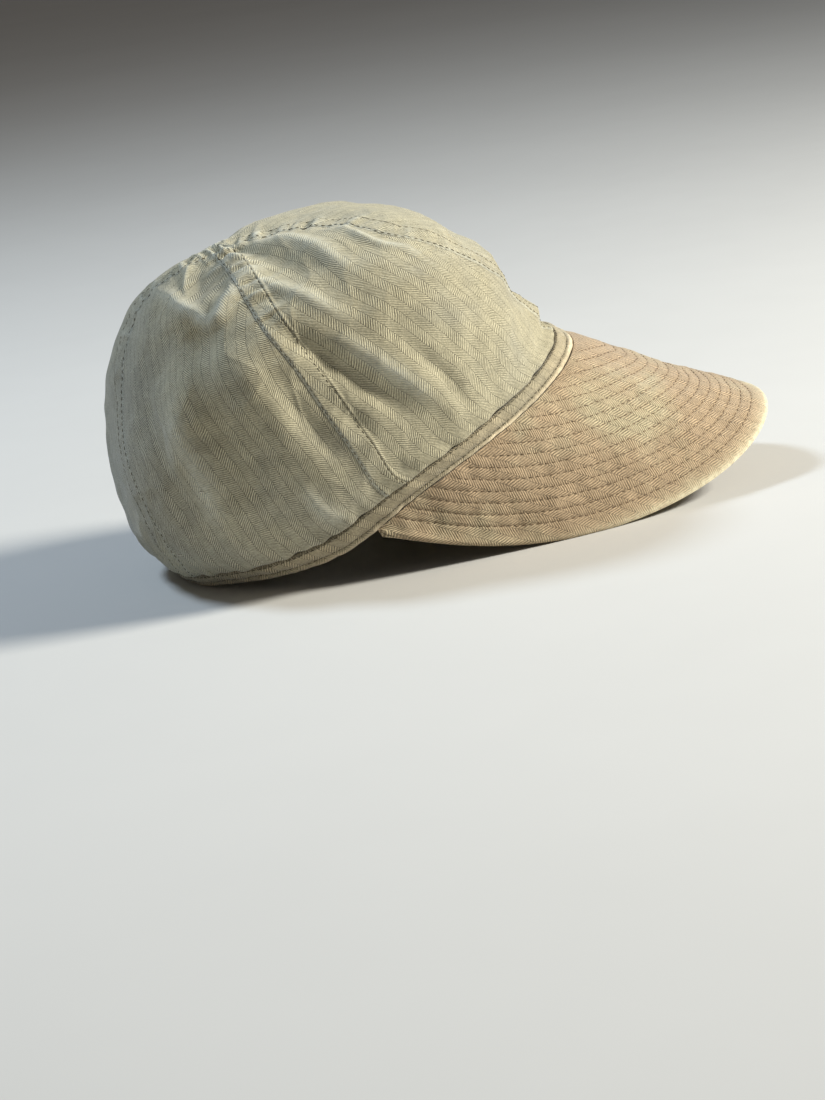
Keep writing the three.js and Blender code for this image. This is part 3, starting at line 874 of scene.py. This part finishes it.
def visor_normal(side, out):
    out = np.clip(out, 0.02, 0.98)
    along = visor_base(side + NORMAL_STEP, out) - visor_base(side - NORMAL_STEP, out)
    across = visor_base(side, out + NORMAL_STEP) - visor_base(side, out - NORMAL_STEP)
    return unit(np.cross(along, across))


VISOR_COLUMNS = 300
VISOR_ROWS = {"inside": 173, "edge": 13}
VISOR_CORNER = 0.99


def visor_sides(count):
    """Places from one corner of the visor to the other, closest together at the corners."""
    return VISOR_CORNER * np.sin(np.linspace(-1, 1, count) * math.pi / 2)


EDGE_POINTS = 900
VISOR_EDGE = visor_base(visor_sides(EDGE_POINTS), np.ones(EDGE_POINTS))
# Width of the rounded border, with rows closer together, and the most it takes of the length
BORDER = 3.0
BORDER_SHARE = 0.3


def visor_grid(clear):
    """Places of a layer's points, closest together at the outer edge."""
    side = visor_sides(VISOR_COLUMNS + 1)[:, None]
    length = np.linalg.norm(visor_base(side, np.ones(side.shape)) - visor_base(side, 0 * side), axis=-1)
    start = np.minimum(clear / length, 0.9)
    border = np.minimum(BORDER / length, BORDER_SHARE)
    inside = start + np.linspace(0, 1, VISOR_ROWS["inside"])[None, :-1] * (1 - border - start)
    outside = 1 - border + np.sin(np.linspace(0, 1, VISOR_ROWS["edge"]) * math.pi / 2)[None] * border
    out = np.hstack([inside, outside])
    return np.broadcast_to(side, out.shape), out


def quilting(reach):
    """Depth of the grooves, 0 to 1, from the distance to the visor's edge."""
    rows = (reach - QUILT["first"]) / QUILT["pitch"]
    nearest = np.clip(np.round(rows), 0, QUILT["rows"] - 1)
    away = (rows - nearest) * QUILT["pitch"]
    return bump(away, 0, QUILT["half"])


VISOR_MIDDLE = visor_base(np.zeros(2), np.array([0.0, 1.0]))
VISOR_FORWARD = unit(VISOR_MIDDLE[1] - VISOR_MIDDLE[0])
VISOR_LIFT = np.array([0.0, VISOR_FORWARD[2], -VISOR_FORWARD[1]])


def woven_lengths(points):
    """Millimetres of cloth round the visor's bend from one corner, and forward along its middle."""
    turn = np.arctan2(-points[..., 0], points @ VISOR_LIFT)
    edge_turn = np.arctan2(-VISOR_EDGE[:, 0], VISOR_EDGE @ VISOR_LIFT)
    profile = np.stack([VISOR_EDGE[:, 0], VISOR_EDGE @ VISOR_LIFT], axis=-1)
    arc = np.concatenate([[0], np.cumsum(np.linalg.norm(np.diff(profile, axis=0), axis=-1))])
    return np.interp(turn, edge_turn, arc), points @ VISOR_FORWARD


# How much thinner the layers are where they are sewn to the rim, and over what length
RIM_TUCK = 0.55
TUCK_LENGTH = 4.5
# Radius of the rounded outer edge
EDGE_ROUND = 2.0
# Unevenness of the cloth over the visor: height, size and seed of each wave
VISOR_WAVES = ((0.25, 26, 31), (0.12, 9, 32))
# Pale wear at the edge: strength, place and half width of a strong and a faint line
EDGE_WEAR = (1.1, 0, 1.9)
FAINT_WEAR = (0.25, 3, 3)


def visor_layer(name, facing, clear):
    """One layer: facing is 1 for the upper one and -1 for the one below."""
    side, out = visor_grid(clear)
    base = visor_base(side, out)
    normal = visor_normal(side, out)
    reach, _ = distances(base, VISOR_EDGE)
    groove = quilting(reach)
    bow = VISOR["bow"] * np.sin(math.pi * out) * (1 - side**2)
    edge = np.sqrt(np.clip(1 - (1 - np.minimum(reach / EDGE_ROUND, 1)) ** 2, 0, 1))
    swell = sum(high * ripple(base, size, seed) for high, size, seed in VISOR_WAVES)
    from_rim = np.linalg.norm(base - base[:, :1], axis=-1)
    tuck = 1 - RIM_TUCK * (1 - smooth_step(from_rim, 0, TUCK_LENGTH))
    face = GAP / 2 + VISOR_LAYER * edge * tuck + (swell - QUILT["groove"] * groove) * smooth_step(reach, 1, 5)
    outer = base + normal * (bow + facing * face)[..., None]
    inner = base + normal * (bow + facing * GAP / 2)[..., None]
    across, along = woven_lengths(base)
    in_front = 1 - smooth_step(np.abs(side), 0.5, 0.9)
    pale = EDGE_WEAR[0] * bump(reach, *EDGE_WEAR[1:]) + FAINT_WEAR[0] * bump(reach, *FAINT_WEAR[1:])
    worn = np.clip(pale, 0, 1) * in_front
    attributes = {"cloth": np.stack([across, along, 0 * along], axis=-1), "worn": worn,
                  "shade": np.clip(0.2 * groove, 0, 1)}
    piece = cloth_wall(name + "_cloth", rest(outer), rest(inner), attributes, visor_cloth)
    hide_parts(name)
    return piece


# Gap between the rim and each layer, in millimetres
RIM_CLEAR = {"top": 0.5, "under": 0.6}
visor_top = visor_layer("visor_top", 1, RIM_CLEAR["top"])
visor_under = visor_layer("visor_under", -1, RIM_CLEAR["under"])


# Stitches

def tree_of(pieces):
    """A search tree of the pieces' faces, to lay stitches on the cloth."""
    points, faces = [], []
    for piece in pieces:
        first = len(points)
        points += [v.co.copy() for v in piece.data.vertices]
        faces += [[first + k for k in p.vertices] for p in piece.data.polygons if p.use_smooth]
    return BVHTree.FromPolygons(points, faces)


def along_line(line, pitch):
    """Points at equal steps along a line of points in metres."""
    lengths = np.concatenate([[0], np.cumsum(np.linalg.norm(np.diff(line, axis=0), axis=-1))])
    count = max(int(lengths[-1] / pitch), 1)
    places = (np.arange(count) + 0.5) * lengths[-1] / count
    return np.stack([np.interp(places, lengths, line[:, k]) for k in range(3)], axis=-1)


STITCH_RINGS = 7
STITCH_SIDES = 6
# Height of a stitch's ends over the cloth, and how much higher its middle is
STITCH_END = -0.09
STITCH_ARCH = 0.13
# Share of the radius at the ends, what the middle adds to it, and how far up the arch the painted shade
# reaches
STITCH_THIN = 0.8
STITCH_SWELL = 0.2
STITCH_DARK = 0.9


def sew(name, lines, pitch, tree, thread=crown_thread, radius=STITCH["radius"]):
    """One mesh of all the stitches along some lines of points in metres, with painted shade where they dip
    in.
    """
    starts, middles, ends, lifts = [], [], [], []
    for line in lines:
        if len(line) < 3:
            continue
        centres = along_line(line, pitch * MM)
        if len(centres) < 2:
            continue
        ways = unit(np.gradient(centres, axis=0))
        for centre, way in zip(centres, ways):
            half = STITCH["cover"] * pitch * random.uniform(0.85, 1.0) * MM / 2
            spot, lift, _, _ = tree.find_nearest(Vector(centre))
            before = tree.find_nearest(Vector(centre - way * half))[0]
            after = tree.find_nearest(Vector(centre + way * half))[0]
            starts.append(before)
            middles.append(spot)
            ends.append(after)
            lifts.append(lift)
    starts, middles, ends, lifts = (np.array(values) for values in (starts, middles, ends, lifts))
    t = np.linspace(0, 1, STITCH_RINGS)[None, :, None]
    ahead = ends - starts
    spine = starts[:, None] * (1 - t) + ends[:, None] * t
    sag = (middles - (starts + ends) / 2)[:, None] * (4 * t * (1 - t))
    arch = np.sin(math.pi * t)
    sunk = STITCH_END + STITCH_ARCH * arch
    spine = spine + sag + lifts[:, None] * sunk * MM
    sideways = unit(np.cross(lifts, ahead))
    upward = unit(np.cross(ahead, sideways))
    turn = np.arange(STITCH_SIDES) / STITCH_SIDES * 2 * math.pi
    ring = sideways[:, None, None] * np.cos(turn)[None, None, :, None]
    ring = ring + upward[:, None, None] * np.sin(turn)[None, None, :, None]
    thick = radius * MM * (STITCH_THIN + STITCH_SWELL * arch)
    points = spine[:, :, None] + ring * thick[..., None]
    count = len(starts)
    # Painted shade at each stitch's ends, where the thread goes into the cloth
    dip = np.broadcast_to(1 - smooth_step(arch, 0.0, STITCH_DARK), (count, STITCH_RINGS, STITCH_SIDES))
    first = (np.arange(count) * STITCH_RINGS * STITCH_SIDES)[:, None, None]
    j = np.arange(STITCH_RINGS - 1)[None, :, None] * STITCH_SIDES
    k = np.arange(STITCH_SIDES)[None, None]
    following = (k + 1) % STITCH_SIDES
    quads = np.stack([first + j + k, first + j + following, first + j + STITCH_SIDES + following,
                      first + j + STITCH_SIDES + k], axis=-1).reshape(-1, 4).tolist()
    last = (STITCH_RINGS - 1) * STITCH_SIDES
    for n in range(count):
        head = n * STITCH_RINGS * STITCH_SIDES
        quads.append([head + s for s in reversed(range(STITCH_SIDES))])
        quads.append([head + last + s for s in range(STITCH_SIDES)])
    smooth = [True] * len(quads)
    return make_piece(name, points.reshape(-1, 3), quads, smooth, {"dip": dip.ravel()}, thread)


def crown_line(angle, up, out):
    """A line in metres over the crown, some millimetres out from its folds."""
    points = crown_base(angle, up) + crown_normal(angle, up) * (fold_depth(angle, up) + out)[..., None]
    return rest(points)


# The seams' stitches start this part of the way up over the band, and end at this radius
SEAM_START = 0.012
SEAM_END_RADIUS = 9.0


def seam_stitch_lines(index):
    """Both rows of stitches of a felled seam, from the band to near the top."""
    up = np.linspace(float(band_top(seam_angle(index, np.array(0.07)))) + SEAM_START, 0.985, 400)
    radius = ring_radius(seam_angle(index, up), up)
    up = up[radius > SEAM_END_RADIUS]
    radius = radius[radius > SEAM_END_RADIUS]
    line = SEAM_HALF - STITCH_INSET
    return [crown_line(seam_angle(index, up) + side * line / radius, up, SEAM_RISE) for side in (-1, 1)]


crown_tree = tree_of(panels)
band_tree = tree_of([band])
SEAM_NAMES = ("front", "right", "back", "left")
for index, seam_name in enumerate(SEAM_NAMES):
    sew(f"stitches_{seam_name}_seam", seam_stitch_lines(index), STITCH["crown"], crown_tree)


BAND_LINE_OUT = 0.5


def band_line(height):
    """A line round the band; height gives the part of the way up to the top at each angle."""
    angle = np.linspace(0, 2 * math.pi, 900)
    return crown_line(angle, height(angle), BAND_LINE_OUT)


# Millimetres from the band's top down to its upper row, and from the rim up to its lower row
UPPER_STITCH = 0.25
LOWER_STITCH = 3.6
sew("stitches_band_upper", [band_line(lambda angle: band_top(angle) - UPPER_STITCH / MERIDIAN)],
    STITCH["band"], band_tree)
sew("stitches_band_lower", [band_line(lambda angle: 0 * angle + LOWER_STITCH / MERIDIAN)],
    STITCH["band"], band_tree)


def quilt_lines(facing, clear):
    """Rows of stitching parallel to the visor's edge, each ending a little before the rim."""
    side = visor_sides(500)
    out = np.linspace(1, 0, 260)
    sides, outs = np.meshgrid(side, out, indexing="ij")
    base = visor_base(sides, outs)
    reach, _ = distances(base, VISOR_EDGE)
    from_rim = np.linalg.norm(base - base[:, -1:], axis=-1)
    bow = VISOR["bow"] * np.sin(math.pi * outs) * (1 - sides**2)
    surface = base + visor_normal(sides, outs) * (bow + facing * (GAP / 2 + VISOR_LAYER))[..., None]
    lines = []
    for row in range(QUILT["rows"]):
        level = QUILT["first"] + row * QUILT["pitch"]
        line = []
        for i in range(len(side)):
            passed = np.argmax(reach[i] > level)
            if passed == 0 or from_rim[i, passed] < clear:
                continue
            share = (level - reach[i, passed - 1]) / (reach[i, passed] - reach[i, passed - 1])
            line.append(surface[i, passed - 1] * (1 - share) + surface[i, passed] * share)
        if len(line) > 3:
            lines.append(rest(np.array(line)))
    return lines


# Millimetres between the rim and the ends of the rows
ROWS_CLEAR = {"top": 3.2, "under": 2.0}
sew("stitches_visor_top", quilt_lines(1, ROWS_CLEAR["top"]), STITCH["visor"], tree_of([visor_top]),
    visor_thread)
sew("stitches_visor_under", quilt_lines(-1, ROWS_CLEAR["under"]), STITCH["visor"],
    tree_of([visor_under]), visor_thread)

# A speck of lint: half its width in degrees, then the height of the line that is laid down on the
# cloth, and the length and radius of its fibres
LINT_HALF = 0.7
LINT_OUT = 4.0
LINT_PITCH = 0.6
LINT_RADIUS = 0.42


def lint_line(place, height):
    degrees = np.linspace(place - LINT_HALF, place + LINT_HALF, 9)
    return crown_line(np.radians(degrees), np.full(len(degrees), height), LINT_OUT)


sew("lint", [lint_line(place, height) for place, height in LINT], LINT_PITCH, crown_tree, lint_fibre,
    radius=LINT_RADIUS)


# Camera at the photograph's angle to the cap

# The camera in the cap's own frame: angles in degrees, its distance and target in millimetres
VIEW = {"behind": 8.0, "above": 18.0, "roll": 30.39, "distance": 1350.0, "target": (0.0, 1.6, -45.2)}
LENS = 98.2
SENSOR = 36.0


def add_camera():
    behind, above, roll = (math.radians(VIEW[key]) for key in ("behind", "above", "roll"))
    back = np.array([-math.cos(behind) * math.cos(above), math.sin(behind) * math.cos(above),
                     math.sin(above)])
    level = unit(np.cross(-back, np.array([0.0, 0.0, 1.0])))
    raised = np.cross(level, -back)
    right = math.cos(roll) * level - math.sin(roll) * raised
    top = math.sin(roll) * level + math.cos(roll) * raised
    place = np.array(VIEW["target"]) + back * VIEW["distance"]
    data = bpy.data.cameras.new("camera")
    data.lens = LENS
    data.sensor_fit = "VERTICAL"
    data.sensor_width = SENSOR
    data.sensor_height = SENSOR
    data.clip_start = 0.01
    data.clip_end = 100
    camera = bpy.data.objects.new("camera", data)
    turned = np.eye(4)
    turned[:3, 0] = tip(right)
    turned[:3, 1] = tip(top)
    turned[:3, 2] = tip(back)
    turned[:3, 3] = rest(place)
    camera.matrix_world = Matrix(turned.tolist())
    bpy.context.scene.collection.objects.link(camera)
    bpy.context.scene.camera = camera


add_camera()


# Floor and light

# Half the floor's width, and how far it lies below the cap, in metres
FLOOR_HALF = 14.0
FLOOR_DROP = 0.0002


def add_floor():
    mesh = bpy.data.meshes.new("floor")
    corners = [(x * FLOOR_HALF, y * FLOOR_HALF, 0) for x, y in ((-1, -1), (1, -1), (1, 1), (-1, 1))]
    mesh.from_pydata(corners, [], [(0, 1, 2, 3)])
    material, shader = new_material("floor_paint")
    graph = Graph(material)
    base = graph.mix(graph.noise(3.0, 4.0), colour(206, 205, 202), colour(213, 212, 209))
    graph.link(base, shader.inputs["Base Color"])
    graph.link(graph.span(graph.noise(30.0), 0.3, 0.7, 0.75, 0.85), shader.inputs["Roughness"])
    shader.inputs["Specular IOR Level"].default_value = 0.15
    mesh.materials.append(material)
    floor = bpy.data.objects.new("floor", mesh)
    floor.location.z = -FLOOR_DROP
    bpy.context.scene.collection.objects.link(floor)


def add_light(name, place, aim, size, power, tint):
    data = bpy.data.lights.new(name, "AREA")
    data.shape = "DISK"
    data.size = size
    data.energy = power
    data.color = tint
    light = bpy.data.objects.new(name, data)
    light.location = place
    light.rotation_euler = (Vector(aim) - Vector(place)).to_track_quat("-Z", "Y").to_euler()
    bpy.context.scene.collection.objects.link(light)


def add_world():
    world = bpy.data.worlds.new("studio")
    bpy.context.scene.world = world
    world.use_nodes = True
    background = world.node_tree.nodes["Background"]
    background.inputs["Color"].default_value = (0.92, 0.87, 0.82, 1)
    background.inputs["Strength"].default_value = 0.125


add_floor()
add_world()
CAP_MIDDLE = (0.0, 0.0, 0.07)
add_light("key", (-0.5, -1.5, 1.06), CAP_MIDDLE, 0.5, 53.0, (1.0, 0.965, 0.87))
add_light("sky", (0.7, 0.85, 1.7), CAP_MIDDLE, 0.45, 23.0, (0.68, 0.83, 1.0))
bpy.context.scene.view_settings.view_transform = "Standard"
